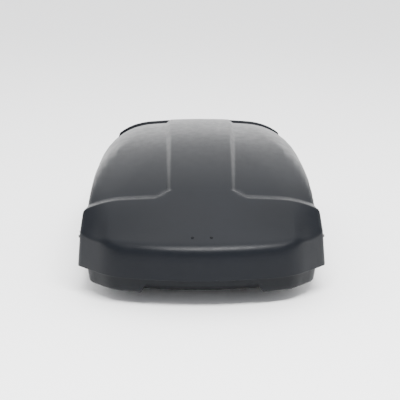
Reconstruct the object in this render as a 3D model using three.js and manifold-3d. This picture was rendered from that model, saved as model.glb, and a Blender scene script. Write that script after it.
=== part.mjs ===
// Roof cargo box: a deep lid over a shallow tub, opening at the rear about two hinges in the nose.
// Millimetres, +Z up, nose towards -Y. The origin is on the underside, below the middle of the box.
import * as THREE from "three";
import Module from "manifold-3d";

// Outer shape
const RIM = 62; // lower edge of the lid
const CREASE = 174; // edge between the upright lower band and the sloping nose
const HALF_LENGTH = 795;
const HALF_WIDTH = 462;
const WALL_LEAN = 0.08; // every wall leans inwards by this much for each unit of height
const NOSE_Y = -786; // where the sloping nose would meet the crease
const NOSE_RISE = 0.577;
const ARC_FRONT = -529; // the long arc of the roof runs between these two
const ARC_REAR = 206;
const CREST_RADIUS = 1072;
const CREST_HEIGHT = 466;
const CREST_Y = 7.4;
const REAR_HEIGHT = 447.4; // height of the roof at the end of the arc
const REAR_FALL = 0.195;
const SPINE_HALF = 110; // half the width of the spine between the lowered panels
const PANEL_FRONT = -563; // front edge of the two lowered roof panels
const PANEL_REAR = 535;
const PANEL_DEPTH = 15;
const PANEL_BEVEL = 17; // width of the sloping edge beside the spine
const FIN_END = 366; // the raised edge behind each panel ends this far from the middle
const SKIN = 4; // sheet thickness of both shells

// Tub
const TUB_INSET = 42;
const TUB_TOP = 80;
const FLANGE_REACH = 8; // from the outside of the lid to the edge of the tub's flange
const TUB_FLARE = 0.14;
const NOTCH_HALF = 224;
const NOTCH_TOP = 36;
const NOTCH_BACK = -708;
const RAIL_X = 170;
const RAIL_FRONT = -560;
const RAIL_REAR = 600;
const SEAL_END_X = 192; // the seal stops here beside the hinges

// Hinges, stays and their motion
const AXIS_Y = -768;
const AXIS_Z = 66;
const HINGE_X = 120;
const KNUCKLE = 6; // outer radius of the hinge knuckles
const PIN_RADIUS = 3;
const LEAF_HALF = 27;
const OPEN_ANGLE = 36;
const STAY_X = 397;
const STAY_TOP_Y = -580;
const STAY_TOP_Z = 171;
const STAY_LENGTH = 226;
const STAY_PIN_Z = 50;
const STAY_RATIO = -2.028; // turn of the stay in the lid for each turn of the lid
const STAY_PIN = 3.5;

// Clamps
const CLAMP_X = 285;
const CLAMP_Y = [-330, 370];
const LEG = 45; // half the distance between the legs of a U-bolt
const WIRE = 4;
const HOOK_DEPTH = 52;
const LEG_TOP = 62;

// Lock
const LOCK_Z = 116;
const BARREL_RADIUS = 10.2;
const BOLT_OFFSET = 13.4; // the rods lie this far above and below the barrel's axis
const KEEPER_X = 168;
const GAP = 0.3; // clearance between pieces that touch
const FAR = 900; // beyond every part of the box

// Colours of the plain materials
const STEEL = 0x8d9094;
const BRIGHT_STEEL = 0xa6a8aa;
const DARK_STEEL = 0x7d8084;
const LACQUER = 0x2b2c2f;

const wasm = await Module();
wasm.setup();
const object = new THREE.Group();
object.name = "roof_cargo_box";

const step = (a, b, t) => THREE.MathUtils.smoothstep(t, a, b);
const ramp = (d, w) => THREE.MathUtils.clamp(d / w, 0, 1);

function blend(a, b, k) {
  const h = Math.max(1 - Math.abs(a - b) / k, 0);
  return Math.max(a, b) + h * h * k / 4;
}

// ---- Shape of the shells, as distances that are negative inside ----

function halfWidth(y) {
  return HALF_WIDTH - 12 * ((y - 300) / 931) ** 2;
}

function roofLine(y) {
  if (y < ARC_FRONT) return CREASE + NOSE_RISE * (y - NOSE_Y);
  const centre = CREST_HEIGHT - CREST_RADIUS;
  if (y < ARC_REAR) return centre + Math.sqrt(CREST_RADIUS ** 2 - (y - CREST_Y) ** 2);
  return REAR_HEIGHT - REAR_FALL * (y - ARC_REAR);
}

function spineHalf(y) {
  return SPINE_HALF + 0.02 * (y - ARC_FRONT);
}

// The walls, the cut-off corners and the arched roof, rounded into one another.
function lidSkin(x, y, z) {
  const ax = Math.abs(x);
  const lean = WALL_LEAN * (z - RIM);
  const wall = ax - halfWidth(y) + lean + 0.06 * Math.max(z - CREASE, 0);
  const lowCorner = (ax - y - 1070) / Math.SQRT2 + lean;
  const sag = 0.0033 * Math.max(ax - 330, 0) * Math.max(PANEL_FRONT - y, 0);
  const highCorner = 0.345 * ax - 0.515 * y + 0.785 * z - 639.5 + sag;
  const sides = blend(wall, blend(lowCorner, highCorner, 6), 8);
  const front = -y - HALF_LENGTH + 0.0005 * x * x + lean;
  const slope = (roofLine(y + 1) - roofLine(y - 1)) / 2;
  const crown = 0.0001 + 0.00019 * (1 - step(-740, -560, y)) + 0.00008 * step(-300, 200, y);
  const roof = (z - roofLine(y) + crown * x * x) / Math.hypot(1, slope);
  const rear = y - HALF_LENGTH + 0.0003 * x * x + 0.1 * (z - RIM);
  const rearCorner = (ax + y - 1175) / Math.SQRT2 + 0.1 * (z - RIM);
  const shoulder = 18 + 130 * step(PANEL_FRONT, -100, y) + 57 * step(-300, 200, y);
  const body = blend(blend(sides, roof, shoulder), front, 26);
  return blend(body, blend(rear, rearCorner, 30), 60);
}

// Depth of the lowered side panels, between the front band, the spine and the rear lip.
function panel(x, y, z) {
  const side = Math.abs(x) - spineHalf(y);
  const corner = side * 0.514 + (y - PANEL_FRONT) * 0.857 - 31;
  const pastFin = ramp(Math.abs(x) - FIN_END, 12) * (1 - step(600, 720, y));
  const edges = [ramp(side, PANEL_BEVEL), ramp(y - PANEL_FRONT, 33), ramp(corner, 24)];
  edges.push(Math.max(ramp(PANEL_REAR - y, 12), pastFin), ramp(z - CREASE + 2, 12));
  return (PANEL_DEPTH + 6 * step(250, 500, y)) * Math.min(...edges);
}

function lid(x, y, z) {
  return lidSkin(x, y, z) + panel(x, y, z);
}

function tub(x, y, z) {
  const ax = Math.abs(x);
  const flare = TUB_FLARE * (z - 2);
  const wall = ax - (halfWidth(y) - TUB_INSET) - flare;
  const corner = (ax - y - 1034) / Math.SQRT2 - flare;
  const front = -y - 770 + 0.0006 * x * x - flare;
  const rear = y - 762 + 0.0003 * x * x - flare;
  const rearCorner = (ax + y - 1125) / Math.SQRT2 - flare;
  return blend(blend(blend(wall, corner, 6), front, 6), blend(rear, rearCorner, 30), 30);
}

// ---- Closed meshes ----

function geometry(points, faces) {
  const flat = points.flatMap((p) => [p.x, p.y, p.z]);
  const shape = new THREE.BufferGeometry();
  shape.setAttribute("position", new THREE.Float32BufferAttribute(flat, 3));
  let volume = 0;
  for (const [a, b, c] of faces) {
    volume += points[a].dot(points[b].clone().cross(points[c]));
  }
  const outward = volume > 0 ? faces : faces.map(([a, b, c]) => [a, c, b]);
  shape.setIndex(outward.flat());
  return shape;
}

// A solid through closed rings of points, capped round the middle of both ends.
function loft(rings) {
  const size = rings[0].length;
  const faces = [];
  for (let r = 0; r + 1 < rings.length; r++) {
    for (let i = 0; i < size; i++) {
      const a = r * size + i;
      const b = r * size + (i + 1) % size;
      faces.push([a, b, a + size], [b, b + size, a + size]);
    }
  }
  const last = (rings.length - 1) * size;
  const sum = (ring) => ring.reduce((total, p) => total.add(p), new THREE.Vector3());
  const middle = (ring) => sum(ring).divideScalar(size);
  const points = [...rings.flat(), middle(rings[0]), middle(rings[rings.length - 1])];
  for (let i = 0; i < size; i++) {
    const j = (i + 1) % size;
    faces.push([points.length - 2, j, i], [points.length - 1, last + i, last + j]);
  }
  return geometry(points, faces);
}

function toManifold(shape) {
  const position = shape.getAttribute("position");
  const mesh = new wasm.Mesh({
    numProp: 3,
    vertProperties: new Float32Array(position.array),
    triVerts: new Uint32Array(shape.getIndex().array),
  });
  mesh.merge();
  return new wasm.Manifold(mesh);
}

function fromManifold(solid) {
  const mesh = solid.getMesh();
  const shape = new THREE.BufferGeometry();
  shape.setAttribute("position", new THREE.BufferAttribute(mesh.vertProperties, 3));
  shape.setIndex(new THREE.BufferAttribute(mesh.triVerts, 1));
  return shape;
}

// The same shape with each corner point stored once.
function bare(shape) {
  const points = [];
  const faces = [];
  const keys = new Map();
  const position = shape.getAttribute("position");
  const index = shape.getIndex();
  const ids = [];
  for (let i = 0; i < position.count; i++) {
    const p = new THREE.Vector3().fromBufferAttribute(position, i);
    const key = [p.x, p.y, p.z].map((v) => Math.round(v * 1e4)).join();
    if (!keys.has(key)) {
      keys.set(key, points.length);
      points.push(p);
    }
    ids.push(keys.get(key));
  }
  for (let i = 0; i < index.count; i += 3) {
    const face = [0, 1, 2].map((k) => ids[index.getX(i + k)]);
    if (new Set(face).size === 3) faces.push(face);
  }
  return geometry(points, faces);
}

function carve(body, cuts) {
  const solid = cuts.reduce((rest, cut) => rest.subtract(toManifold(cut)), toManifold(body));
  return fromManifold(solid);
}

function join(shapes) {
  const solid = shapes.slice(1).reduce((sum, s) => sum.add(toManifold(s)), toManifold(shapes[0]));
  return fromManifold(solid);
}

function box(x0, x1, y0, y1, z0, z1) {
  const shape = new THREE.BoxGeometry(x1 - x0, y1 - y0, z1 - z0);
  shape.translate((x0 + x1) / 2, (y0 + y1) / 2, (z0 + z1) / 2);
  return bare(shape);
}

// A round bar between two points.
function rod(from, to, radius, sides = 16, endRadius = radius) {
  const start = new THREE.Vector3(...from);
  const axis = new THREE.Vector3(...to).sub(start);
  const shape = new THREE.CylinderGeometry(endRadius, radius, axis.length(), sides);
  shape.translate(0, axis.length() / 2, 0);
  const turn = new THREE.Quaternion().setFromUnitVectors(
    new THREE.Vector3(0, 1, 0), axis.clone().normalize());
  shape.applyQuaternion(turn);
  shape.translate(...from);
  return bare(shape);
}

// A bar between two copies of a section that may be concave.
function loftSection([first, last]) {
  const flat = first.map((p) => new THREE.Vector2(p.x, p.z));
  const caps = THREE.ShapeUtils.triangulateShape(flat, []);
  const size = first.length;
  const faces = [];
  for (const [a, b, c] of caps) faces.push([a, b, c], [a + size, c + size, b + size]);
  const turn = THREE.ShapeUtils.area(flat) > 0 ? 1 : -1;
  for (let i = 0; i < size; i++) {
    const j = (i + 1) % size;
    const [a, b] = turn > 0 ? [j, i] : [i, j];
    faces.push([a, b, a + size], [b, b + size, a + size]);
  }
  const good = new Map();
  faces.forEach((f) => good.set(f.join(), f));
  return geometry([...first, ...last], [...good.values()]);
}

// A flat bar between two points of a plane across the box.
function bar(x0, x1, [ya, za], [yb, zb], half) {
  const along = new THREE.Vector2(yb - ya, zb - za).normalize().multiplyScalar(half);
  return loft([x0, x1].map((x) => [
    new THREE.Vector3(x, ya - along.y, za + along.x),
    new THREE.Vector3(x, yb - along.y, zb + along.x),
    new THREE.Vector3(x, yb + along.y, zb - along.x),
    new THREE.Vector3(x, ya + along.y, za - along.x),
  ]));
}

function add(name, shape, color, roughness, metalness) {
  const material = new THREE.MeshStandardMaterial({ color, roughness, metalness });
  material.name = name;
  const mesh = new THREE.Mesh(shape, material);
  mesh.name = name;
  object.add(mesh);
}

// ---- Shells ----

// The point where a line from inside the box leaves a surface.
function meet(field, level, origin, direction) {
  let near = 0;
  let beyond = 1500;
  for (let i = 0; i < 40; i++) {
    const p = origin.clone().addScaledVector(direction, (near + beyond) / 2);
    if (field(p.x, p.y, p.z) < level) near = (near + beyond) / 2;
    else beyond = (near + beyond) / 2;
  }
  return origin.clone().addScaledVector(direction, near);
}

// Columns of points around the shell: where each starts in plan and which way it looks.
function columns(grid, { front, rear }) {
  const last = grid.length - 1;
  const list = [];
  const side = grid[0].length - 1;
  const push = (r, c, angle) => {
    const a = THREE.MathUtils.degToRad(angle);
    const dir = new THREE.Vector3(Math.cos(a), Math.sin(a), 0);
    list.push({ id: r * (side + 1) + c, start: grid[r][c], dir });
  };
  for (let c = 0; c <= side; c++) push(0, c, -90);
  front.forEach((angle) => push(0, side, angle));
  for (let r = 0; r <= last; r++) push(r, side, 0);
  rear.forEach((angle) => push(last, side, angle));
  for (let c = side; c >= 0; c--) push(last, c, 90);
  [...rear].reverse().forEach((angle) => push(last, 0, 180 - angle));
  for (let r = last; r >= 0; r--) push(r, 0, 180);
  [...front].reverse().forEach((angle) => push(0, 0, 180 - angle));
  return list;
}

// A closed solid from a grid cap, rings of points below it and a flat cap on the last ring.
function domed(cap, width, around, rings) {
  const points = [...cap];
  const faces = [];
  const rowsOfCap = cap.length / width;
  for (let r = 0; r + 1 < rowsOfCap; r++) {
    for (let c = 0; c + 1 < width; c++) {
      const a = r * width + c;
      faces.push([a, a + 1, a + width], [a + 1, a + width + 1, a + width]);
    }
  }
  const size = around.length;
  let above = around.map((column) => column.id);
  for (const ring of rings) {
    const first = points.length;
    points.push(...ring);
    const below = ring.map((p, i) => first + i);
    for (let i = 0; i < size; i++) {
      const j = (i + 1) % size;
      faces.push([above[i], below[i], below[j]]);
      if (above[i] !== above[j]) faces.push([above[i], below[j], above[j]]);
    }
    above = below;
  }
  const level = points[above[0]].z;
  const under = cap.map((p) => new THREE.Vector3(p.x, p.y, level));
  const first = points.length;
  points.push(...under);
  for (let r = 0; r + 1 < rowsOfCap; r++) {
    for (let c = 0; c + 1 < width; c++) {
      const a = first + r * width + c;
      faces.push([a, a + width, a + 1], [a + 1, a + width, a + width + 1]);
    }
  }
  for (let i = 0; i < size; i++) {
    const j = (i + 1) % size;
    const a = first + around[i].id;
    const b = first + around[j].id;
    faces.push([above[i], a, above[j]]);
    if (a !== b) faces.push([above[j], a, b]);
  }
  return geometry(points, faces);
}

const LID_ROWS = [-620, PANEL_FRONT, PANEL_FRONT + 33, -450, -330, -180, 0, 180, 340, 460,
  PANEL_REAR - 12, PANEL_REAR, 575, 640];
const CORE_X = 325;
const CORE_Z = 186;

function places(rows) {
  return rows.map((y) => {
    const s = spineHalf(Math.max(y, PANEL_FRONT));
    const half = [0, s / 2, s, s + PANEL_BEVEL, 230, CORE_X];
    const xs = [...half.slice(1).reverse().map((x) => -x), ...half];
    return xs.map((x) => new THREE.Vector3(x, y, 0));
  });
}

// Rings round the lid: first fanned out from its core at each tilt, then level at each height.
function lidSolid(level, tilts, heights, foot) {
  const grid = places(LID_ROWS);
  const around = columns(grid, { front: [-82, -45, -5], rear: [35, 56] });
  const up = new THREE.Vector3(0, 0, 1);
  const cap = grid.flat().map((p) => meet(lid, level, p.clone().setZ(150), up));
  const rings = tilts.map((tilt) => around.map(({ start, dir }) => {
    const a = THREE.MathUtils.degToRad(tilt);
    const way = dir.clone().multiplyScalar(Math.cos(a)).setZ(Math.sin(a));
    return meet(lid, level, start.clone().setZ(CORE_Z), way);
  }));
  for (const z of heights) {
    rings.push(around.map(({ start, dir }) => meet(lid, level, start.clone().setZ(z), dir)));
  }
  const lastRing = rings[rings.length - 1].map((p) => p.clone().setZ(foot));
  return domed(cap, grid[0].length, around, foot < RIM ? [...rings, lastRing] : rings);
}

const TUB_ROWS = [-590, -300, 0, 300, 590];
const TUB_COLUMNS = [-280, -200, -146, -94, 0, 94, 146, 200, 280];

// Rings: which surface, how far inside it, at what height it is measured and where it ends up.
function tubSolid(capZ, rings) {
  const grid = TUB_ROWS.map((y) => TUB_COLUMNS.map((x) => new THREE.Vector3(x, y, 0)));
  const around = columns(grid, { front: [-78, -45, -11], rear: [35, 56] });
  const cap = grid.flat().map((p) => p.clone().setZ(capZ));
  const loops = rings.map(([field, level, measured, z]) => around.map(({ start, dir }) => {
    return meet(field, level, start.clone().setZ(measured), dir).setZ(z);
  }));
  return domed(cap, TUB_COLUMNS.length, around, loops);
}

// The recess under the nose.
function notch(grow) {
  const rings = [];
  for (let i = -6; i <= 6; i++) {
    const t = i / 6;
    const low = t * (NOTCH_HALF + 5 + grow);
    const high = t * (NOTCH_HALF - 26 + grow);
    const back = (x) => NOTCH_BACK + 0.0006 * x * x + grow;
    rings.push([
      new THREE.Vector3(low, -FAR, -20),
      new THREE.Vector3(low, back(low), -20),
      new THREE.Vector3(high, back(high), NOTCH_TOP + grow),
      new THREE.Vector3(high, -FAR, NOTCH_TOP + grow),
    ]);
  }
  return loft(rings);
}

// ---- Path of the stay's pin, which the slot in its plate follows ----

function stayPin(openDegrees) {
  const reach = STAY_TOP_Z - STAY_PIN_Z;
  const rest = Math.atan2(-reach, Math.sqrt(STAY_LENGTH ** 2 - reach ** 2));
  const open = THREE.MathUtils.degToRad(openDegrees);
  const ry = STAY_TOP_Y - AXIS_Y;
  const rz = STAY_TOP_Z - AXIS_Z;
  const y = AXIS_Y + ry * Math.cos(open) - rz * Math.sin(open);
  const z = AXIS_Z + ry * Math.sin(open) + rz * Math.cos(open);
  const angle = rest + open * (1 + STAY_RATIO);
  return new THREE.Vector2(y + STAY_LENGTH * Math.cos(angle), z + STAY_LENGTH * Math.sin(angle));
}

// ---- Lid ----

const lidOuter = lidSolid(0, [72, 57, 42, 26, 12, 0], [178, 166, 146, RIM], RIM);
const lidInner = lidSolid(-SKIN, [72, 45, 22, 0], [168, 144, RIM], RIM - 20);
const keyHole = rod([0, 700, LOCK_Z], [0, FAR, LOCK_Z], BARREL_RADIUS + 1.2, 24);
add("lid_shell", carve(lidOuter, [lidInner, keyHole]), 0x4b4e54, 0.55, 0);

function innerLid(x, y, z, depth) {
  const origin = new THREE.Vector3(0, y, 150);
  const way = new THREE.Vector3(x, 0, z).normalize();
  return meet(lid, -SKIN - depth, origin, way);
}

// Bows glued under the roof, following it from shoulder to shoulder.
for (const [name, y] of [["lid_bow_front", -420], ["lid_bow_rear", 400]]) {
  const rings = [];
  for (let tilt = 36; tilt <= 144; tilt += 6) {
    const a = THREE.MathUtils.degToRad(tilt);
    const at = (dy, depth) => innerLid(Math.cos(a), y + dy, Math.sin(a), depth);
    rings.push([at(-22, 9), at(22, 9), at(14, 20), at(-14, 20)]);
  }
  add(name, loft(rings), 0x2e3033, 0.6, 0);
}

// ---- Tub ----

const tubOuter = tubSolid(0, [
  [tub, -8, 2, 0],
  [tub, -2.3, 2, 3],
  [tub, 0, 9, 9],
  [tub, 0, TUB_TOP - 4, TUB_TOP - 4],
  [lid, -SKIN - FLANGE_REACH, TUB_TOP, TUB_TOP - 4],
  [lid, -SKIN - FLANGE_REACH, TUB_TOP, TUB_TOP],
]);
const tubInner = tubSolid(SKIN, [
  [tub, -SKIN - 7, 6, SKIN],
  [tub, -SKIN, 14, 14],
  [tub, -SKIN, TUB_TOP, TUB_TOP + 30],
]);
const ribs = [];
for (const x of [-60, 0, 60]) {
  ribs.push(box(x - 12, x + 12, -520, 560, -1, SKIN + 7));
}
const cavity = carve(tubInner, [notch(SKIN), ...ribs]);
const openings = [cavity, notch(0)];
for (const y of CLAMP_Y) {
  for (const x of [-CLAMP_X, CLAMP_X]) {
    for (const leg of [-LEG, LEG]) {
      openings.push(box(x - 6, x + 6, y + leg - 20, y + leg + 20, -5, SKIN + 5));
    }
  }
}
for (const x of [-HINGE_X, HINGE_X]) {
  openings.push(box(x - 34, x + 34, -FAR, -750, AXIS_Z - 7.5, TUB_TOP + 5));
}
add("tub_shell", carve(tubOuter, openings), 0x303236, 0.65, 0);

// Soft seal lying on the flange, in three lengths between the hinges and the keepers.
const sealBand = tubSolid(TUB_TOP + GAP, [
  [lid, -SKIN - 16, TUB_TOP, TUB_TOP + GAP],
  [lid, -SKIN - 16, TUB_TOP, TUB_TOP + 5],
  [lid, -SKIN - 18, TUB_TOP, TUB_TOP + 7],
]);
const sealHole = tubSolid(TUB_TOP - 3, [
  [lid, -SKIN - 25, TUB_TOP, TUB_TOP - 3],
  [lid, -SKIN - 25, TUB_TOP, TUB_TOP + 12],
]);
const [low, high] = [TUB_TOP - 5, TUB_TOP + 15];
const sealLengths = {
  left: [box(-SEAL_END_X, FAR, -FAR, FAR, low, high)],
  right: [box(-FAR, SEAL_END_X, -FAR, FAR, low, high)],
  rear: [
    box(-FAR, FAR, -FAR, RAIL_REAR, low, high),
    box(-FAR, 4 - KEEPER_X, -FAR, FAR, low, high),
    box(KEEPER_X - 4, FAR, -FAR, FAR, low, high),
  ],
};
for (const [side, ends] of Object.entries(sealLengths)) {
  add(`rim_seal_${side}`, carve(sealBand, [sealHole, ...ends]), 0x141414, 0.85, 0);
}

for (const [side, sign] of [["left", -1], ["right", 1]]) {
  const x = sign * RAIL_X;
  const z = SKIN + GAP;
  const section = [[-20, 0], [20, 0], [20, 3], [12, 3], [9, 14], [-9, 14], [-12, 3], [-20, 3]];
  const hollow = [[-9, -2], [9, -2], [6.5, 11.5], [-6.5, 11.5]];
  const at = (outline, y) => outline.map(([u, v]) => new THREE.Vector3(x + u, y, z + v));
  const ends = [at(section, RAIL_FRONT), at(section, RAIL_REAR)];
  const bore = [at(hollow, RAIL_FRONT - 10), at(hollow, RAIL_REAR + 10)];
  add(`floor_rail_${side}`, carve(loftSection(ends), [loftSection(bore)]), 0xb4b7ba, 0.35, 1);
}

// ---- Hinges in the nose ----

for (const [side, sign] of [["left", -1], ["right", 1]]) {
  const x = sign * HINGE_X;
  const alongAxis = (from, to, radius, sides) => {
    return rod([x + from, AXIS_Y, AXIS_Z], [x + to, AXIS_Y, AXIS_Z], radius, sides);
  };
  const hole = alongAxis(-40, 40, PIN_RADIUS + GAP, 12);
  const shelf = NOTCH_TOP + SKIN + GAP;
  const baseLeaf = join([
    alongAxis(-11, 11, KNUCKLE, 16),
    box(x - 11, x + 11, AXIS_Y + 2, -752, AXIS_Z - 5, AXIS_Z - 2),
    box(x - 26, x + 26, -755, -752, shelf, AXIS_Z - 2),
    box(x - 26, x + 26, -755, -722, shelf, shelf + 3),
  ]);
  add(`hinge_tub_leaf_${side}`, carve(baseLeaf, [hole]), STEEL, 0.4, 1);
  const arm = (from, to) => join([
    alongAxis(from, to, KNUCKLE, 16),
    box(x + from, x + to, -773, AXIS_Y + 1, AXIS_Z + 1, AXIS_Z + 5.5),
    box(x + from, x + to, -773, -770, AXIS_Z + 1, 98),
  ]);
  const forwards = new THREE.Vector3(0, -1, 0);
  const wallAt = (z) => Math.max(...[-LEAF_HALF, LEAF_HALF].map((w) => {
    return meet(lid, -SKIN, new THREE.Vector3(x + w, -500, z), forwards).y;
  }));
  const outline = [[-LEAF_HALF, 92], [LEAF_HALF, 92], [LEAF_HALF, 130], [-LEAF_HALF, 130]];
  const plate = loft([5, 8].map((off) => {
    return outline.map(([u, z]) => new THREE.Vector3(x + u, wallAt(z) + off, z));
  }));
  const lidLeaf = join([arm(-LEAF_HALF, -11.4), arm(11.4, LEAF_HALF), plate]);
  add(`hinge_lid_leaf_${side}`, carve(lidLeaf, [hole]), STEEL, 0.4, 1);
  const pin = join([
    alongAxis(-29, 29, PIN_RADIUS, 12),
    alongAxis(-31, -28, 4.6, 12),
    alongAxis(28, 31, 4.6, 12),
  ]);
  add(`hinge_pin_${side}`, pin, BRIGHT_STEEL, 0.3, 1);
}

// ---- Stays that hold the lid open ----

const restPin = stayPin(0);
// The slot runs on a little past both ends of the pin's travel.
const SLOT_FROM = -0.035;
const SLOT_TO = 1.03;
const slotPath = [];
for (let i = 0; i <= 20; i++) {
  slotPath.push(stayPin(OPEN_ANGLE * THREE.MathUtils.lerp(SLOT_FROM, SLOT_TO, i / 20)));
}

for (const [side, sign] of [["left", -1], ["right", 1]]) {
  const at = (x) => sign * (STAY_X + x);
  const arm = join([
    rod([at(0), STAY_TOP_Y, STAY_TOP_Z], [at(4), STAY_TOP_Y, STAY_TOP_Z], 9, 20),
    rod([at(0), restPin.x, restPin.y], [at(4), restPin.x, restPin.y], 8, 20),
    bar(at(0), at(4), [STAY_TOP_Y, STAY_TOP_Z], [restPin.x, restPin.y], 6.5),
    rod([at(2), restPin.x, restPin.y], [at(12), restPin.x, restPin.y], STAY_PIN, 16),
  ]);
  const onPivot = (from, to, radius) => {
    return rod([at(from), STAY_TOP_Y, STAY_TOP_Z], [at(to), STAY_TOP_Y, STAY_TOP_Z], radius);
  };
  const eye = onPivot(-5, 9, 4.1);
  add(`stay_arm_${side}`, carve(arm, [eye]), BRIGHT_STEEL, 0.35, 1);

  const xs = [at(4.6), at(8.6)];
  const ends = slotPath.map((p) => p.x);
  const heights = slotPath.map((p) => p.y);
  const [y0, y1] = [Math.min(...ends) - 8, Math.max(...ends) + 8];
  const [z0, z1] = [Math.min(...heights) - 11, Math.max(...heights) + 11];
  const plate = box(Math.min(...xs), Math.max(...xs), y0, y1, z0, z1);
  const slot = loft(slotPath.map((p, i) => {
    const before = slotPath[Math.max(i - 1, 0)];
    const after = slotPath[Math.min(i + 1, slotPath.length - 1)];
    const along = after.clone().sub(before).normalize();
    const across = new THREE.Vector2(-along.y, along.x).multiplyScalar(STAY_PIN + 0.4);
    return [[-6, 1], [6, 1], [6, -1], [-6, -1]].map(([dx, k]) => {
      return new THREE.Vector3(at(6.6 + dx), p.x + across.x * k, p.y + across.y * k);
    });
  }));
  const sideways = new THREE.Vector3(sign, 0, 0);
  const feet = [[y0, y0 + 7], [y1 - 7, y1]].map((span) => {
    const walls = span.map((y) => meet(tub, -SKIN, new THREE.Vector3(sign * 200, y, z0), sideways));
    const wall = Math.min(...walls.map((p) => Math.abs(p.x)));
    const reachX = [sign * (wall - 3), at(8)];
    return box(Math.min(...reachX), Math.max(...reachX), ...span, z0, z1);
  });
  add(`stay_slot_plate_${side}`, join([carve(plate, [slot]), ...feet]), DARK_STEEL, 0.45, 1);

  const wallAt = (level, y, z) => {
    return Math.abs(meet(lid, level, new THREE.Vector3(300 * sign, y, z), sideways).x);
  };
  const foot = wallAt(-SKIN, STAY_TOP_Y, STAY_TOP_Z) - STAY_X - 6;
  const rivetY = [STAY_TOP_Y - 29, STAY_TOP_Y + 29];
  const [padFront, padRear] = [rivetY[0] - 9, rivetY[1] + 9];
  const corners = [[padFront, 155], [padRear, 155], [padRear, 183], [padFront, 183]];
  const pad = loft([6, 3].map((off) => corners.map(([y, z]) => {
    return new THREE.Vector3(at(wallAt(-SKIN, y, z) - STAY_X - off), y, z);
  })));
  const stud = [onPivot(4.4, foot, 8), onPivot(-3, foot, 3.7), onPivot(-3, -0.4, 7)];
  add(`stay_bracket_${side}`, join([pad, ...stud]), DARK_STEEL, 0.45, 1);

  rivetY.forEach((y, i) => {
    const x = wallAt(0, y, STAY_TOP_Z) + 0.8;
    const rivet = rod([sign * x, y, STAY_TOP_Z], [sign * (x + 2.6), y, STAY_TOP_Z], 6.5, 16, 4);
    add(`side_rivet_${side}_${i + 1}`, rivet, LACQUER, 0.4, 0.6);
  });
}

// ---- Two rivets on the nose ----

const NOSE_RIVET_X = 33;
const NOSE_RIVET_Z = 203;

for (const [side, sign] of [["left", -1], ["right", 1]]) {
  const inside = new THREE.Vector3(sign * NOSE_RIVET_X, -500, NOSE_RIVET_Z);
  const skin = meet(lid, 0, inside, new THREE.Vector3(0, -1, 0));
  const out = new THREE.Vector3(0, -NOSE_RISE, 1).normalize();
  const foot = skin.clone().addScaledVector(out, GAP);
  const top = foot.clone().addScaledVector(out, 2);
  add(`nose_rivet_${side}`, rod(foot.toArray(), top.toArray(), 5.5, 16, 3.5), LACQUER, 0.4, 0.6);
}

// ---- Lock in the rear wall ----

const rearSkin = meet(lid, 0, new THREE.Vector3(0, 500, LOCK_Z), new THREE.Vector3(0, 1, 0)).y;
// A round piece on the barrel's axis, from one distance behind the rear skin to another.
const onBarrel = (from, to, radius, endRadius = radius) => {
  return rod([0, rearSkin + from, LOCK_Z], [0, rearSkin + to, LOCK_Z], radius, 24, endRadius);
};
const lockBack = rearSkin - SKIN - 4;
const caseHole = onBarrel(-70, 50, BARREL_RADIUS + 0.4);
const lockCase = carve(box(-46, 46, lockBack - 30, lockBack, LOCK_Z - 22, LOCK_Z + 22), [
  caseHole,
  box(-80, 80, lockBack - 25, lockBack - 13, LOCK_Z - 16.5, LOCK_Z + 16.5),
]);
add("lock_case", lockCase, 0x232427, 0.5, 0);
const keyway = box(-1.3, 1.3, rearSkin - 3, FAR, LOCK_Z - 5, LOCK_Z + 5);
const barrel = join([onBarrel(-40, 3, BARREL_RADIUS), onBarrel(2.2, 6.5, 14, 12.5)]);
add("lock_barrel", carve(barrel, [keyway]), 0xb9bcc0, 0.25, 1);

for (const [side, sign] of [["left", -1], ["right", 1]]) {
  const z = LOCK_Z - sign * BOLT_OFFSET;
  const xs = [sign * -20, sign * 160];
  const y = [lockBack - 22, lockBack - 16];
  const bolt = box(Math.min(...xs), Math.max(...xs), ...y, z - 2.8, z + 2.8);
  add(`latch_rod_${side}`, bolt, BRIGHT_STEEL, 0.35, 1);
  const span = [sign * KEEPER_X, sign * (KEEPER_X + 3.5)];
  const [x0, x1] = [Math.min(...span), Math.max(...span)];
  const floorZ = TUB_TOP + GAP;
  const post = carve(box(x0, x1, lockBack - 30, lockBack - 10, floorZ, z + 12), [
    box(x0 - 5, x1 + 5, y[0] - 1.5, y[1] + 1.5, z - 4.5, z + 4.5)]);
  const footX = [sign * KEEPER_X, sign * (KEEPER_X + 20)];
  const foot = box(Math.min(...footX), Math.max(...footX), lockBack - 30, lockBack - 10,
    floorZ, floorZ + 3);
  add(`keeper_${side}`, join([post, foot]), DARK_STEEL, 0.45, 1);
}

// ---- Clamps for the crossbars ----

// A U-bolt: one bent wire with its two legs standing up.
function hook(x, y) {
  const rings = [];
  const push = (cy, cz, dy, dz) => rings.push([...Array(12).keys()].map((i) => {
    const a = i * Math.PI / 6;
    const u = WIRE * Math.cos(a);
    const v = WIRE * Math.sin(a);
    return new THREE.Vector3(x + u, cy - dz * v, cz + dy * v);
  }));
  const bend = 22;
  const low = WIRE - HOOK_DEPTH;
  push(y - LEG, LEG_TOP, 0, -1);
  for (let i = 0; i <= 4; i++) {
    const a = i * Math.PI / 8;
    push(y - LEG + bend - bend * Math.cos(a), low + bend - bend * Math.sin(a),
      Math.sin(a), -Math.cos(a));
  }
  for (let i = 4; i >= 0; i--) {
    const a = i * Math.PI / 8;
    push(y + LEG - bend + bend * Math.cos(a), low + bend - bend * Math.sin(a),
      Math.sin(a), Math.cos(a));
  }
  push(y + LEG, LEG_TOP, 0, 1);
  return loft(rings);
}

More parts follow.
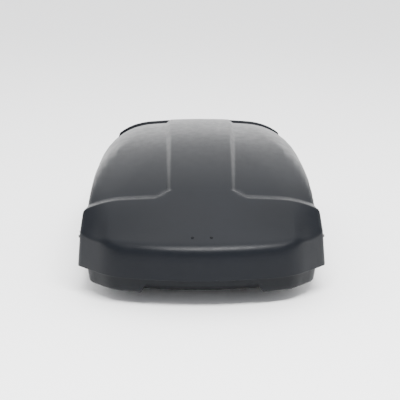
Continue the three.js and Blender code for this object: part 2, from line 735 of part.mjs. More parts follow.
// A six-lobed knob with a bored middle.
function knob(x, y, z) {
  const rings = [[8, 0], [21, 5], [22, 13], [15, 19]].map(([radius, h]) => {
    return [...Array(24).keys()].map((i) => {
      const a = i * Math.PI / 12;
      const wave = h > 0 ? 0.1 * Math.cos(6 * a) : 0;
      const lobe = radius * (1 + wave);
      return new THREE.Vector3(x + lobe * Math.cos(a), y + lobe * Math.sin(a), z + h);
    });
  });
  return carve(loft(rings), [rod([x, y, z - 5], [x, y, z + 30], WIRE + 0.3, 12)]);
}

CLAMP_Y.forEach((y, row) => {
  for (const [side, sign] of [["left", -1], ["right", 1]]) {
    const x = sign * CLAMP_X;
    const name = `${["front", "rear"][row]}_${side}`;
    add(`clamp_hook_${name}`, hook(x, y), BRIGHT_STEEL, 0.3, 1);
    const z = SKIN + GAP;
    const holes = [-LEG, LEG].map((leg) => rod([x, y + leg, -5], [x, y + leg, 20], WIRE + 0.4, 16));
    const plate = carve(box(x - 17, x + 17, y - LEG - 22, y + LEG + 22, z, z + 3), holes);
    add(`clamp_plate_${name}`, plate, DARK_STEEL, 0.45, 1);
    add(`clamp_knob_a_${name}`, knob(x, y - LEG, z + 3.3), 0x1d1e20, 0.6, 0);
    add(`clamp_knob_b_${name}`, knob(x, y + LEG, z + 3.3), 0x1d1e20, 0.6, 0);
  }
});

export default object;
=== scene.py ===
"""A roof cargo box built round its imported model: fine shells, grained plastic and finished hardware.

Sizes are in millimetres in the shape functions and turned into metres where meshes are made.
"""

import math

import bmesh
import bpy
import numpy as np
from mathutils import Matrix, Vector


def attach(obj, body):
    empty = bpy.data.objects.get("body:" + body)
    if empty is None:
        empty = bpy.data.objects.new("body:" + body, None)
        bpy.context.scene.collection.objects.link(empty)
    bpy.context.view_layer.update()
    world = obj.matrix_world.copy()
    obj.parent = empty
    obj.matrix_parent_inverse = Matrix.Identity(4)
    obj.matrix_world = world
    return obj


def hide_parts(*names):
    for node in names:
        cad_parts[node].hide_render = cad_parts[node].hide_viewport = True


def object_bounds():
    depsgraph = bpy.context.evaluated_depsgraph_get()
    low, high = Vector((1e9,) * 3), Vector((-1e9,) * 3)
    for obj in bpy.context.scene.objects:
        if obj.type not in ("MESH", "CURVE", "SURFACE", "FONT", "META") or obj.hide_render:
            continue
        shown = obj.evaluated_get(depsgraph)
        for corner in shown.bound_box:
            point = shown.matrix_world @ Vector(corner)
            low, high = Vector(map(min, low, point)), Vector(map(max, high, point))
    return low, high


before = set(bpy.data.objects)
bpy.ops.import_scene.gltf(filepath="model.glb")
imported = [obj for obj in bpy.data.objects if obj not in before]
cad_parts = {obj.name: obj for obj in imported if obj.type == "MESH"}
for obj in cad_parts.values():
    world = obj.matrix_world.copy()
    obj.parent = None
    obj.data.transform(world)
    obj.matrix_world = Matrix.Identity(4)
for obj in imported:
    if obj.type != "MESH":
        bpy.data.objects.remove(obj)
cad_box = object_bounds()

MM = 0.001

# Walls and ends of the lid, the same as the solid model's
RIM = 62  # lower edge of the lid
CREASE = 174  # edge between the upright lower band and the sloping nose
HALF_LENGTH = 795
HALF_WIDTH = 462
WIDEST_Y = 300
SIDE_BOW = 12  # the sides draw in by this much at SIDE_BOW_LENGTH from the widest place
SIDE_BOW_LENGTH = 931
WALL_LEAN = 0.08  # the walls lean inwards by this much for each unit of height
UPPER_LEAN = 0.06  # and by this much more above the crease
REAR_LEAN = 0.1
FRONT_BOW = 0.0005  # the ends are bowed by this much times the square of the distance from the middle
REAR_BOW = 0.0003
LOW_CORNER = 1070  # distance across plus distance forwards, where the front corners are cut off
HIGH_CORNER = (0.345, -0.515, 0.785, 639.5)  # plane of the sloping facet above each front corner
SAG = 0.0033  # that facet falls away in front of the panels, outside SAG_X
SAG_X = 330
REAR_CORNER = 1175
SKIN = 4  # sheet thickness of both shells

# Roof of the lid
NOSE_Y = -786  # where the sloping nose would meet the crease
NOSE_RISE = 0.577
ARC_FRONT = -529  # the long arc of the roof runs between these two
ARC_REAR = 206
CREST_RADIUS = 1072
CREST_HEIGHT = 466
CREST_Y = 7.4
REAR_HEIGHT = 447.4  # height of the roof at the end of the arc
REAR_FALL = 0.195
CROWN = 0.0001  # the roof falls to both sides by this much times the square of the distance
NOSE_CROWN = 0.00019  # added in front of NOSE_SPAN
REAR_CROWN = 0.00008  # added behind REAR_SPAN
NOSE_SPAN = (-740, -560)
REAR_SPAN = (-300, 200)
SHOULDER = 18  # rounding between the roof and the sides, which grows towards the rear
MIDDLE_SHOULDER = 130  # added behind SHOULDER_SPAN
REAR_SHOULDER = 57  # added behind REAR_SPAN

# Lowered panels of the roof
SPINE_HALF = 110  # half the width of the spine between the panels
SPINE_TAPER = 0.02
PANEL_FRONT = -563
PANEL_REAR = 535
PANEL_DEPTH = 15
PANEL_DEEPER = 6  # added behind DEEPER_SPAN
DEEPER_SPAN = (250, 500)
PANEL_BEVEL = 17  # width of the sloping edge beside the spine
FRONT_BEVEL = 33
REAR_BEVEL = 12
CORNER_BEVEL = 24
CORNER_CUT = (0.514, 0.857, 31)  # line that cuts off the panel's inner front corner
FIN_END = 366  # the raised edge behind each panel ends this far from the middle
FIN_FADE = (600, 720)  # and outside that end the panel runs out here
CREASE_FADE = 12  # the panels run out over this height at the crease
SHOULDER_SPAN = (PANEL_FRONT, -100)

# Rounding of edges
FACET_ROUND = 6
WALL_ROUND = 8
FRONT_ROUND = 26
REAR_CORNER_ROUND = 30
REAR_ROUND = 60

# Tub
TUB_INSET = 42
TUB_TOP = 80
TUB_FRONT = 770
TUB_REAR = 762
TUB_BOW = 0.0006
TUB_FLARE = 0.14
TUB_CORNER = 1034
TUB_REAR_CORNER = 1125
FLANGE_REACH = 8  # from the outside of the lid to the edge of the tub's flange
NOTCH_FOOT_HALF = 229  # half the width of the recess under the nose, at its foot and at its top
NOTCH_TOP_HALF = 198
NOTCH_TOP = 36
NOTCH_BACK = -708
RIB_X = (-60, 0, 60)
RIB_ENDS = (-520, 560)
RIB_HALF = 12
RIB_HEIGHT = 7

# Holes for the hardware
HINGE_X = 120
WINDOW_HALF = 34
WINDOW_Y = (-830, -750)
WINDOW_FOOT = 58.5
CLAMP_X = 285
CLAMP_Y = (-330, 370)
LEG = 45  # half the distance between the legs of a U-bolt
SLOT_HALF_WIDTH = 6
SLOT_HALF_LENGTH = 20
LOCK_Z = 116
KEY_HOLE = 11.4  # radius of the hole for the lock barrel
WALL_Y = (700, 840)  # the rear wall lies between these two

# Core of the lid, from which its surface is measured outwards
CORE_X = 325
CORE_FRONT = -620
CORE_REAR = 640
CORE_Z = 186
CAP_Z = 150  # the rays straight up start here


# ---- Camera, low in front of the nose with a long lens ----

def add_camera():
    target = Vector((0, -0.200, 0.196))
    distance = 4.3
    sideways = 0.002
    pitch = math.radians(15)
    yaw = math.radians(0.54)
    across = Vector((math.cos(yaw), -math.sin(yaw), 0))
    ahead = Vector((math.sin(yaw), math.cos(yaw), 0))
    look = ahead * math.cos(pitch) - Vector((0, 0, math.sin(pitch)))
    data = bpy.data.cameras.new("camera")
    data.lens = 97.2
    data.sensor_width = 36
    camera = bpy.data.objects.new("camera", data)
    camera.location = target - look * distance - across * sideways
    camera.rotation_euler = look.to_track_quat("-Z", "Y").to_euler()
    bpy.context.collection.objects.link(camera)
    bpy.context.scene.camera = camera


# ---- Shape of the shells, as distances that are negative inside ----

def step(a, b, t):
    """Goes smoothly from 0 at a to 1 at b."""
    u = np.clip((t - a) / (b - a), 0, 1)
    return u * u * (3 - 2 * u)


def ramp(d, width, soft=1.3):
    """Climbs from 0 to 1 over a width, with both its bends a little rounded."""
    rise = np.sqrt(d * d + soft * soft) - np.sqrt((d - width) ** 2 + soft * soft)
    return (rise / width + 1) / 2


def blend(a, b, k):
    """The greater of two distances, rounded where they are about the same."""
    h = np.maximum(1 - np.abs(a - b) / k, 0)
    return np.maximum(a, b) + h * h * k / 4


def half_width(y):
    return HALF_WIDTH - SIDE_BOW * ((y - WIDEST_Y) / SIDE_BOW_LENGTH) ** 2


def roof_line(y):
    nose = CREASE + NOSE_RISE * (y - NOSE_Y)
    arc_y = np.sqrt(np.maximum(CREST_RADIUS ** 2 - (y - CREST_Y) ** 2, 1))
    arc = CREST_HEIGHT - CREST_RADIUS + arc_y
    tail = REAR_HEIGHT - REAR_FALL * (y - ARC_REAR)
    return np.where(y < ARC_FRONT, nose, np.where(y < ARC_REAR, arc, tail))


def spine_half(y):
    return SPINE_HALF + SPINE_TAPER * (y - ARC_FRONT)


def lid_sides(ax, y, z):
    """The side walls and the two facets that cut off each front corner."""
    lean = WALL_LEAN * (z - RIM)
    wall = ax - half_width(y) + (lean + UPPER_LEAN * np.maximum(z - CREASE, 0))
    low_corner = (ax - y - LOW_CORNER) / math.sqrt(2) + lean
    sag = SAG * np.maximum(ax - SAG_X, 0) * np.maximum(PANEL_FRONT - y, 0)
    a, b, c, d = HIGH_CORNER
    high_corner = a * ax + b * y + c * z - d + sag
    return blend(wall, blend(low_corner, high_corner, FACET_ROUND), WALL_ROUND)


def lid_roof(x, y, z):
    slope = (roof_line(y + 1) - roof_line(y - 1)) / 2
    crown = CROWN + NOSE_CROWN * (1 - step(*NOSE_SPAN, y)) + REAR_CROWN * step(*REAR_SPAN, y)
    return (z - roof_line(y) + crown * x * x) / np.hypot(1, slope)


def lid_skin(x, y, z):
    """The walls, the cut-off corners and the arched roof, rounded into one another."""
    ax = np.abs(x)
    front = -y - HALF_LENGTH + FRONT_BOW * x * x + WALL_LEAN * (z - RIM)
    rear = y - HALF_LENGTH + REAR_BOW * x * x + REAR_LEAN * (z - RIM)
    rear_corner = (ax + y - REAR_CORNER) / math.sqrt(2) + REAR_LEAN * (z - RIM)
    shoulder = SHOULDER + MIDDLE_SHOULDER * step(*SHOULDER_SPAN, y) + REAR_SHOULDER * step(*REAR_SPAN, y)
    body = blend(blend(lid_sides(ax, y, z), lid_roof(x, y, z), shoulder), front, FRONT_ROUND)
    return blend(body, blend(rear, rear_corner, REAR_CORNER_ROUND), REAR_ROUND)


def panel(x, y, z):
    """Depth of the lowered side panels, between the front band, the spine and the rear lip."""
    end_soft = 1.5
    side = np.abs(x) - spine_half(y)
    a, b, c = CORNER_CUT
    corner = side * a + (y - PANEL_FRONT) * b - c
    past_fin = ramp(np.abs(x) - FIN_END, REAR_BEVEL, end_soft) * (1 - step(*FIN_FADE, y))
    edges = [
        ramp(side, PANEL_BEVEL),
        ramp(y - PANEL_FRONT, FRONT_BEVEL),
        ramp(corner, CORNER_BEVEL),
        np.maximum(ramp(PANEL_REAR - y, REAR_BEVEL, end_soft), past_fin),
        ramp(z - CREASE + 2, CREASE_FADE),
    ]
    return (PANEL_DEPTH + PANEL_DEEPER * step(*DEEPER_SPAN, y)) * np.minimum.reduce(edges)


def lid(x, y, z):
    return lid_skin(x, y, z) + panel(x, y, z)


def tub(x, y, z):
    ax = np.abs(x)
    flare = TUB_FLARE * (z - 2)
    wall = ax - (half_width(y) - TUB_INSET) - flare
    corner = (ax - y - TUB_CORNER) / math.sqrt(2) - flare
    front = -y - TUB_FRONT + TUB_BOW * x * x - flare
    rear = y - TUB_REAR + REAR_BOW * x * x - flare
    rear_corner = (ax + y - TUB_REAR_CORNER) / math.sqrt(2) - flare
    body = blend(blend(wall, corner, FACET_ROUND), front, FACET_ROUND)
    return blend(body, blend(rear, rear_corner, REAR_CORNER_ROUND), REAR_CORNER_ROUND)


def meet(field, level, starts, ways):
    """Where rays from inside reach the surface of a field at a level."""
    near = np.zeros(len(starts))
    far = np.full(len(starts), 1500.0)
    for _ in range(36):
        middle = (near + far) / 2
        p = starts + ways * middle[:, None]
        inside = field(p[:, 0], p[:, 1], p[:, 2]) < level
        near = np.where(inside, middle, near)
        far = np.where(inside, far, middle)
    return starts + ways * near[:, None]


# ---- Points that the rays start from ----

def lines(features, spacing, gap=3.5):
    """Positions along one direction: every feature, one close on each side of it, and even steps."""
    marks = sorted(features)
    out = []
    for a, b in zip(marks, marks[1:]):
        count = max(int(round((b - a) / spacing)), 1)
        inner = np.linspace(a, b, count + 1)[1:-1]
        out += [a]
        if b - a > 3 * gap:
            out += [a + gap] + [v for v in inner if a + 2 * gap < v < b - 2 * gap] + [b - gap]
    return out + [marks[-1]]


def mirrored(half):
    """Positions from the middle outwards, with the same ones on the other side."""
    return [-x for x in reversed(half[1:])] + half


def lid_places(row_step, column_step):
    """Points in plan below the roof, in lines that follow the edges of the panels."""
    edges = (PANEL_FRONT, PANEL_FRONT + FRONT_BEVEL, PANEL_REAR - REAR_BEVEL, PANEL_REAR)
    rows = lines([CORE_FRONT, *(y + d for y in edges for d in (-2, 2)), CORE_REAR], row_step)
    middle = float(spine_half(0))
    bevel = [d + e for d in (0, PANEL_BEVEL) for e in (-2, 2)]
    half = lines([0, *(middle + b for b in bevel), CORE_X], column_step)
    share = np.interp(half, [0, middle, middle + PANEL_BEVEL, CORE_X], [0, 1, 1, 0])
    grid = []
    for y in rows:
        taper = float(spine_half(max(y, PANEL_FRONT))) - middle
        grid.append([(x, y, 0) for x in mirrored(list(half + share * taper))])
    return np.array(grid, float)


def columns(places, front, rear):
    """Start and direction of each column of points round a shell, anticlockwise from above.

    Directions are in degrees: -90 points to the nose, 0 to the right side and 90 to the rear.
    """
    rows, width = places.shape[:2]
    ids = []
    angles = []

    def push(r, c, angle):
        ids.append(r * width + c)
        angles.append(angle)

    for c in range(width):
        push(0, c, -90)
    for angle in front:
        push(0, width - 1, angle)
    for r in range(rows):
        push(r, width - 1, 0)
    for angle in rear:
        push(rows - 1, width - 1, angle)
    for c in reversed(range(width)):
        push(rows - 1, c, 90)
    for angle in reversed(rear):
        push(rows - 1, 0, 180 - angle)
    for r in reversed(range(rows)):
        push(r, 0, 180)
    for angle in reversed(front):
        push(0, 0, 180 - angle)
    turn = np.radians(np.array(angles, float))
    ways = np.stack([np.cos(turn), np.sin(turn), np.zeros(len(turn))], 1)
    return np.array(ids), ways


def tilted(ways, degrees):
    a = math.radians(degrees)
    turned = ways * math.cos(a)
    turned[:, 2] = math.sin(a)
    return turned


def at_height(starts, z):
    raised = starts.copy()
    raised[:, 2] = z
    return raised


# ---- Meshes ----

def new_mesh(name, points, faces, smooth=True):
    data = bpy.data.meshes.new(name)
    data.from_pydata([tuple(p) for p in points], [], [tuple(int(v) for v in f) for f in faces])
    data.validate()
    data.update()
    if smooth:
        data.polygons.foreach_set("use_smooth", [True] * len(data.polygons))
    piece = bpy.data.objects.new(name, data)
    bpy.context.collection.objects.link(piece)
    return piece


def shell_mesh(name, outer_cap, rings, inner_cap, width, ids):
    """One closed skin: the outer cap, the rings down and back up, and the inner cap."""
    size = len(ids)
    rows = len(outer_cap) // width
    points = np.concatenate([outer_cap, *rings, inner_cap])
    inner_first = len(points) - len(inner_cap)
    faces = []
    for r in range(rows - 1):
        for c in range(width - 1):
            a = r * width + c
            b = inner_first + a
            faces.append((a, a + 1, a + width + 1, a + width))
            faces.append((b, b + width, b + width + 1, b + 1))
    loops = [list(ids)]
    for k in range(len(rings)):
        first = len(outer_cap) + k * size
        loops.append(list(range(first, first + size)))
    loops.append(list(inner_first + np.array(ids)))
    for above, below in zip(loops, loops[1:]):
        for i in range(size):
            j = (i + 1) % size
            corners = (above[i], below[i], below[j], above[j])
            kept = tuple(dict.fromkeys(corners))
            if len(kept) > 2:
                faces.append(kept)
    return new_mesh(name, points * MM, faces)


def outward(piece):
    made = bmesh.new()
    made.from_mesh(piece.data)
    bmesh.ops.recalc_face_normals(made, faces=made.faces)
    made.to_mesh(piece.data)
    made.free()


def prism(name, rings):
    """A closed solid through rings of equally many points, with flat ends, used to cut with."""
    size = len(rings[0])
    last = (len(rings) - 1) * size
    faces = []
    for k in range(0, last, size):
        for i in range(size):
            j = (i + 1) % size
            faces.append((k + i, k + j, k + size + j, k + size + i))
    faces += [tuple(reversed(range(size))), tuple(range(last, last + size))]
    points = np.array(rings, float).reshape(-1, 3)
    piece = new_mesh(name, points * MM, faces, smooth=False)
    outward(piece)
    return piece


def block(name, x, y, z):
    """A box between two values in each direction, used to cut with."""
    corners = [(x[0], y[0]), (x[1], y[0]), (x[1], y[1]), (x[0], y[1])]
    return prism(name, [[(*corner, height) for corner in corners] for height in z])


def apply_modifiers(piece):
    graph = bpy.context.evaluated_depsgraph_get()
    made = bpy.data.meshes.new_from_object(piece.evaluated_get(graph))
    old = piece.data
    piece.modifiers.clear()
    piece.data = made
    made.name = piece.name
    bpy.data.meshes.remove(old)


def cut(piece, cutters):
    """Cuts closed meshes out of a piece, one after another, and removes them."""
    for cutter in cutters:
        tool = piece.modifiers.new("cut", "BOOLEAN")
        tool.operation = "DIFFERENCE"
        tool.solver = "MANIFOLD"
        tool.object = cutter
        apply_modifiers(piece)
        bpy.data.objects.remove(cutter)


def add_bevel(piece, width, degrees):
    bevel = piece.modifiers.new("edges", "BEVEL")
    bevel.width = width * MM
    bevel.segments = 2
    bevel.limit_method = "ANGLE"
    bevel.angle_limit = math.radians(degrees)


def shade_by_angle(piece, degrees):
    piece.data.polygons.foreach_set("use_smooth", [True] * len(piece.data.polygons))
    piece.data.set_sharp_from_angle(angle=math.radians(degrees))


# ---- Lid ----

LID_FRONT_FAN = [-86, -82, -78, -72, -65, -55, -45, -35, -25, -17, -11, -8, -5, -2]
LID_REAR_FAN = [8, 16, 24, 31, 36, 42, 48, 54, 60, 68, 76, 84]

# Rings from the top down: fanned out from the core at each tilt in degrees, then level at each height
LID_TILTS = [82, 74, 66, 58, 51, 45, 40, 35, 31, 27, 23, 19, 16, 13, 10, 7.5, 5, 2.5, 0]
LID_HEIGHTS = [182, 178, 175, 172, 169, 165, 158, 140, 120, 100, 82, 70, 65, RIM + 1.2]

# The rounded lower edge, from outside to inside: level of the field and height
LID_EDGE = [(-0.4, RIM + 0.3), (-1.2, RIM), (-SKIN + 1.2, RIM), (-SKIN + 0.4, RIM + 0.3)]


def key_hole():
    """A round bar through the rear wall, where the lock barrel passes."""
    sides = 64
    turn = np.arange(sides) * math.tau / sides
    circle = [(KEY_HOLE * math.cos(a), LOCK_Z + KEY_HOLE * math.sin(a)) for a in turn]
    return prism("key_hole", [[(x, y, z) for x, z in circle] for y in WALL_Y])


def make_lid():
    places = lid_places(9, 8)
    width = places.shape[1]
    ids, ways = columns(places, LID_FRONT_FAN, LID_REAR_FAN)
    flat = places.reshape(-1, 3)
    starts = flat[ids]
    up = np.tile([0.0, 0.0, 1.0], (len(flat), 1))

    def skins(level):
        cap = meet(lid, level, at_height(flat, CAP_Z), up)
        rings = [meet(lid, level, at_height(starts, CORE_Z), tilted(ways, t)) for t in LID_TILTS]
        rings += [meet(lid, level, at_height(starts, z), ways) for z in LID_HEIGHTS]
        return cap, rings

    outer_cap, outer = skins(0)
    inner_cap, inner = skins(-SKIN)
    edge = []
    for level, z in LID_EDGE:
        ring = meet(lid, level, at_height(starts, RIM + 1), ways)
        ring[:, 2] = z
        edge.append(ring)
    piece = shell_mesh("lid_skin", outer_cap, outer + edge + inner[::-1], inner_cap, width, ids)
    cut(piece, [key_hole()])
    shade_by_angle(piece, 60)
    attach(piece, "lid")
    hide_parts("lid_shell")
    piece.data.materials.clear()
    piece.data.materials.append(shell_plastic("lid_plastic", (0.0030, 0.0038, 0.0056), 0.36))


# ---- Tub ----

TUB_FRONT_FAN = [-84, -78, -70, -60, -50, -40, -30, -20, -11, -5]
TUB_REAR_FAN = [8, 18, 28, 35, 42, 49, 56, 64, 74, 82]

# Rings from the top down: field, its level, the height it is measured at and the height of the ring
FLANGE = -SKIN - FLANGE_REACH
TUB_OUTER = [
    (lid, FLANGE - 1.5, TUB_TOP, TUB_TOP),
    (lid, FLANGE, TUB_TOP, TUB_TOP - 1.5),
    (lid, FLANGE, TUB_TOP, TUB_TOP - 3),
    (lid, FLANGE - 1, TUB_TOP, TUB_TOP - 4),
    (tub, 2.5, TUB_TOP - 5, TUB_TOP - 4),
    (tub, 0.4, TUB_TOP - 6, TUB_TOP - 5.5),
    (tub, 0, TUB_TOP - 9, TUB_TOP - 9),
    (tub, 0, 60, 60),
    (tub, 0, 40, 40),
    (tub, 0, 22, 22),
    (tub, 0, 14, 14),
    (tub, -0.5, 9, 9),
    (tub, -2.0, 5.5, 5),
    (tub, -4.2, 3, 2.2),
    (tub, -7, 2, 0.6),
    (tub, -10, 2, 0),
]
TUB_INNER = [
    (tub, -SKIN + 2.5, TUB_TOP, TUB_TOP + 0.5),
    (tub, -SKIN + 1.2, TUB_TOP, TUB_TOP - 0.6),
    (tub, -SKIN, TUB_TOP - 2, TUB_TOP - 2),
    (tub, -SKIN, 40, 40),
    (tub, -SKIN, 18, 18),
    (tub, -SKIN - 1.5, 11, 11),
    (tub, -SKIN - 5, 7, 6),
    (tub, -SKIN - 9, 6, SKIN),
]


def tub_solid(name, cap_z, rings, floor_z):
    """A closed solid with the tub's plan, between a flat top and a flat floor."""
    rows = lines([-590, 590], 30)
    xs = mirrored(lines([0, 280], 20))
    places = np.array([[(x, y, 0) for x in xs] for y in rows], float)
    ids, ways = columns(places, TUB_FRONT_FAN, TUB_REAR_FAN)
    flat = places.reshape(-1, 3)
    starts = flat[ids]
    loops = []
    for field, level, measured, z in rings:
        ring = meet(field, level, at_height(starts, measured), ways)
        ring[:, 2] = z
        loops.append(ring)
    return shell_mesh(name, at_height(flat, cap_z), loops, at_height(flat, floor_z), len(xs), ids)


def notch_cutter(name, grow):
    """The recess under the nose, which narrows upwards and follows the bow of the tub's front."""
    front = -840
    bottom = -20
    top = NOTCH_TOP + grow
    count = 24
    rings = []
    for i in range(-count, count + 1):
        t = i / count
        low = t * (NOTCH_FOOT_HALF + grow)
        high = t * (NOTCH_TOP_HALF + grow)
        back_low = NOTCH_BACK + TUB_BOW * low * low + grow
        back_high = NOTCH_BACK + TUB_BOW * high * high + grow
        rings.append([(low, front, bottom), (low, back_low, bottom),
                      (high, back_high, top), (high, front, top)])
    return prism(name, rings)


def floor_ribs():
    """Blocks that keep the hollow off three raised ribs along the floor."""
    height = (-1, SKIN + RIB_HEIGHT)
    return [block("rib", (x - RIB_HALF, x + RIB_HALF), RIB_ENDS, height) for x in RIB_X]


def clamp_slots():
    """Slots through the floor for the legs of the four U-bolts."""
    slots = []
    for y in CLAMP_Y:
        for x in (-CLAMP_X, CLAMP_X):
            across = (x - SLOT_HALF_WIDTH, x + SLOT_HALF_WIDTH)
            for leg in (y - LEG, y + LEG):
                along = (leg - SLOT_HALF_LENGTH, leg + SLOT_HALF_LENGTH)
                slots.append(block("slot", across, along, (-5, SKIN + 5)))
    return slots


def hinge_windows():
    """Gaps in the front of the flange for the hinges."""
    height = (WINDOW_FOOT, TUB_TOP + 5)
    return [block("window", (x - WINDOW_HALF, x + WINDOW_HALF), WINDOW_Y, height)
            for x in (-HINGE_X, HINGE_X)]


def make_tub():
    piece = tub_solid("tub_skin", TUB_TOP, TUB_OUTER, 0)
    hollow = tub_solid("tub_hollow", TUB_TOP + 30, TUB_INNER, SKIN)
    cut(hollow, [notch_cutter("notch_inside", SKIN), *floor_ribs()])
    cut(piece, [notch_cutter("notch_outside", 0), *clamp_slots(), *hinge_windows(), hollow])
    piece.name = "tub_body"
    add_bevel(piece, 1.6, 50)
    apply_modifiers(piece)
    shade_by_angle(piece, 40)
    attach(piece, "tub")
    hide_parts("tub_shell")
    piece.data.materials.clear()
    piece.data.materials.append(shell_plastic("tub_plastic", (0.0042, 0.0050, 0.0066), 0.48))


# ---- Materials ----

def fill(tree, node, inputs):
    """Links each input that is given another node's output, and sets the others to their values."""
    for key, value in inputs.items():
        if isinstance(value, bpy.types.NodeSocket):
            tree.links.new(value, node.inputs[key])
        else:
            node.inputs[key].default_value = value
    return node


def add_node(tree, kind, inputs):
    return fill(tree, tree.nodes.new(kind), inputs)


def new_material(name):
    material = bpy.data.materials.new(name)
    material.use_nodes = True
    tree = material.node_tree
    return material, tree, tree.nodes["Principled BSDF"]


def object_place(tree):
    return tree.nodes.new("ShaderNodeTexCoord").outputs["Object"]


def noise(tree, place, scale, detail):
    made = add_node(tree, "ShaderNodeTexNoise", {"Vector": place, "Scale": scale, "Detail": detail})
    return made.outputs["Fac"]


def cells(tree, scale, feature="F1"):
    made = add_node(tree, "ShaderNodeTexVoronoi", {"Vector": object_place(tree), "Scale": scale})
    made.feature = feature
    return made.outputs["Distance"]


def two_tone(tree, source, low, high, start=0.35, end=0.65):
    node = add_node(tree, "ShaderNodeValToRGB", {"Fac": source})
    for stop, place, color in zip(node.color_ramp.elements, (start, end), (low, high)):
        stop.position = place
        stop.color = (*color, 1)
    return node.outputs["Color"]


def spread(tree, source, low, high, start=0.3, end=0.7):
    """Values from low to high as the source goes from start to end."""
    limits = {"From Min": start, "From Max": end, "To Min": low, "To Max": high}
    return add_node(tree, "ShaderNodeMapRange", {"Value": source, **limits}).outputs["Result"]


def relief(tree, source, distance, strength, under=None):
    inputs = {"Height": source, "Distance": distance, "Strength": strength}
    if under is not None:
        inputs["Normal"] = under
    return add_node(tree, "ShaderNodeBump", inputs).outputs["Normal"]


def scaled(color, k):
    return tuple(min(c * k, 1) for c in color)


def shell_plastic(name, color, roughness):
    """Vacuum-formed sheet with a fine leather grain, slow ripples and faint changes of gloss."""
    material, tree, shader = new_material(name)
    cloud = noise(tree, object_place(tree), 5.0, 3)
    wear = noise(tree, object_place(tree), 38.0, 5)
    ripple = noise(tree, object_place(tree), 16.0, 2)
    grain = relief(tree, cells(tree, 520, "SMOOTH_F1"), 0.00022, 0.55)
    fill(tree, shader, {
        "Base Color": two_tone(tree, cloud, scaled(color, 0.93), scaled(color, 1.08)),
        "Roughness": spread(tree, wear, roughness - 0.04, roughness + 0.05),
        "Normal": relief(tree, ripple, 0.0003, 0.07, grain),
        "Specular IOR Level": 0.13,
    })
    return material


def moulded(name, color, roughness, gloss=0.5):
    """Injection-moulded or painted surface with a gritty finish."""
    material, tree, shader = new_material(name)
    cloud = noise(tree, object_place(tree), 60.0, 3)
    grit = noise(tree, object_place(tree), 900.0, 2)
    fill(tree, shader, {
        "Base Color": two_tone(tree, cloud, scaled(color, 0.85), scaled(color, 1.15)),
        "Roughness": spread(tree, cloud, roughness - 0.06, roughness + 0.06),
        "Normal": relief(tree, grit, 0.0002, 0.5),
        "Specular IOR Level": gloss,
    })
    return material


def foam_rubber(name):
    material, tree, shader = new_material(name)
    bubbles = cells(tree, 700)
    fill(tree, shader, {
        "Base Color": two_tone(tree, bubbles, (0.006,) * 3, (0.016,) * 3),
        "Roughness": 0.85,
        "Normal": relief(tree, bubbles, 0.0004, 0.6),
    })
    return material


def metal(name, color, roughness, stretch):
    """Rolled or plated metal: streaks along the stretch direction and small darker spots."""
    material, tree, shader = new_material(name)
    along = {"Vector": object_place(tree), "Scale": stretch}
    place = add_node(tree, "ShaderNodeMapping", along).outputs["Vector"]
    streak = noise(tree, place, 220, 5)
    spots = noise(tree, object_place(tree), 45.0, 4)
    fill(tree, shader, {
        "Base Color": two_tone(tree, spots, scaled(color, 0.78), scaled(color, 1.06)),
        "Metallic": 1,
        "Roughness": spread(tree, streak, roughness - 0.08, roughness + 0.12),
        "Normal": relief(tree, streak, 0.0001, 0.4),
    })
    return material


# ---- Hardware carried over from the solid model: bevelled edges and finishes ----

def hardware_looks():
    """For the start of each node's name: its material, its slot and the width of its bevels."""
    plated = metal("zinc_plate", (0.47, 0.48, 0.50), 0.34, (1, 0.15, 1))
    bright = metal("bright_steel", (0.62, 0.63, 0.65), 0.24, (1, 1, 0.15))
    rail = metal("rail_aluminium", (0.66, 0.67, 0.69), 0.36, (1, 0.05, 1))
    chrome = metal("lock_chrome", (0.75, 0.76, 0.78), 0.16, (1, 0.3, 1))
    black = moulded("black_nylon", (0.016, 0.016, 0.018), 0.48)
    ribbed = moulded("bow_plastic", (0.030, 0.030, 0.033), 0.55)
    coat = moulded("powder_coat", (0.045, 0.045, 0.050), 0.42)
    lacquer = moulded("dark_lacquer", (0.003, 0.0035, 0.0045), 0.5, 0.08)
    return {
        "lid_bow": (ribbed, "bow_plastic", 2.0),
        "rim_seal": (foam_rubber("foam_rubber"), "seal_rubber", 1.2),
        "floor_rail": (rail, "rail_metal", 0.5),
        "hinge_pin": (bright, "pin_steel", 0.5),
        "hinge": (plated, "hinge_steel", 0.5),
        "stay": (plated, "stay_steel", 0.5),
        "side_rivet": (lacquer, "rivet_black", 0.5),
        "nose_rivet": (lacquer, "rivet_black", 0.5),
        "lock_case": (black, "lock_plastic", 1.0),
        "lock_barrel": (chrome, "lock_chrome", 0.4),
        "latch_rod": (plated, "latch_steel", 0.4),
        "keeper": (plated, "latch_steel", 0.5),
        "clamp_hook": (bright, "hook_steel", 0),
        "clamp_plate": (coat, "plate_steel", 0.7),
        "clamp_knob": (black, "knob_plastic", 1.2),
    }


def finish_nodes():
    looks = hardware_looks()
    for name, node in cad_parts.items():
        found = next((look for start, look in looks.items() if name.startswith(start)), None)
        if found is None:
            continue
        material, slot, width = found
        node.data.materials.clear()
        node.data.materials.append(material)
        if width:
            add_bevel(node, width, 40)


# ---- Stage and light ----

def make_stage(low):
    half = 120
    corners = [(-half, -half, low), (half, -half, low), (half, half, low), (-half, half, low)]
    floor = new_mesh("floor", corners, [(0, 1, 2, 3)], smooth=False)
    material, tree, shader = new_material("floor_white")
    look = {"Base Color": (0.93, 0.93, 0.93, 1), "Roughness": 0.9, "Specular IOR Level": 0.1}
    fill(tree, shader, look)
    floor.data.materials.append(material)


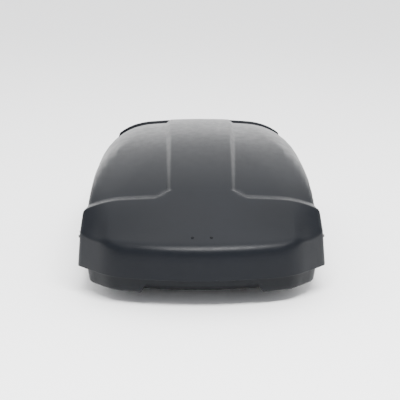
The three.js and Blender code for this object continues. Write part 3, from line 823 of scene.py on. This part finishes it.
def add_area(name, place, target, size, power):
    data = bpy.data.lights.new(name, "AREA")
    data.shape = "RECTANGLE"
    data.size, data.size_y = size
    data.energy = power
    light = bpy.data.objects.new(name, data)
    light.location = place
    light.rotation_euler = (Vector(target) - Vector(place)).to_track_quat("-Z", "Y").to_euler()
    bpy.context.collection.objects.link(light)


# Brightness of the studio's walls and ceiling by height, from the horizon (0) to straight up (1)
SKY_BANDS = [(0.0, 0.70), (0.05, 0.60), (0.11, 0.22), (0.2, 0.24),
             (0.34, 1.0), (0.45, 0.40), (0.62, 0.34), (1.0, 0.36)]


def sky_bands(tree, height):
    node = add_node(tree, "ShaderNodeValToRGB", {"Fac": height})
    node.color_ramp.interpolation = "EASE"
    stops = node.color_ramp.elements
    while len(stops) < len(SKY_BANDS):
        stops.new(0.5)
    for stop, (place, level) in zip(stops, SKY_BANDS):
        stop.position = place
        stop.color = (level, level, level, 1)
    return node.outputs["Color"]


def light_scene():
    """A studio that is darker behind the camera and at the sides, with two soft lamps overhead."""
    world = bpy.data.worlds.new("studio")
    bpy.context.scene.world = world
    world.use_nodes = True
    tree = world.node_tree
    way = tree.nodes.new("ShaderNodeTexCoord").outputs["Generated"]
    x, y, z = add_node(tree, "ShaderNodeSeparateXYZ", {"Vector": way}).outputs
    ahead = spread(tree, y, 0, 1, -0.9, 0.6)
    tone = two_tone(tree, ahead, (0.24, 0.245, 0.26), (1, 1, 1), 0, 1)
    sideways = add_node(tree, "ShaderNodeMath", {0: x})
    sideways.operation = "ABSOLUTE"
    walls = spread(tree, sideways.outputs["Value"], 1.0, 0.45, 0.5, 0.9)
    both = add_node(tree, "ShaderNodeMath", {0: walls, 1: sky_bands(tree, z)})
    both.operation = "MULTIPLY"
    shade = tree.nodes.new("ShaderNodeVectorMath")
    shade.operation = "SCALE"
    fill(tree, shade, {0: tone, "Scale": both.outputs["Value"]})
    fill(tree, tree.nodes["Background"], {"Color": shade.outputs["Vector"], "Strength": 9.0})
    add_area("overhead", (0, 1.5, 5.0), (0, 0.3, 0.2), (6, 5), 150)
    add_area("front_strip", (0.5, -3.4, 4.6), (0.1, -0.7, 0.2), (3.6, 1.1), 720)


add_camera()
make_lid()
make_tub()
finish_nodes()
make_stage(cad_box[0][2])
light_scene()
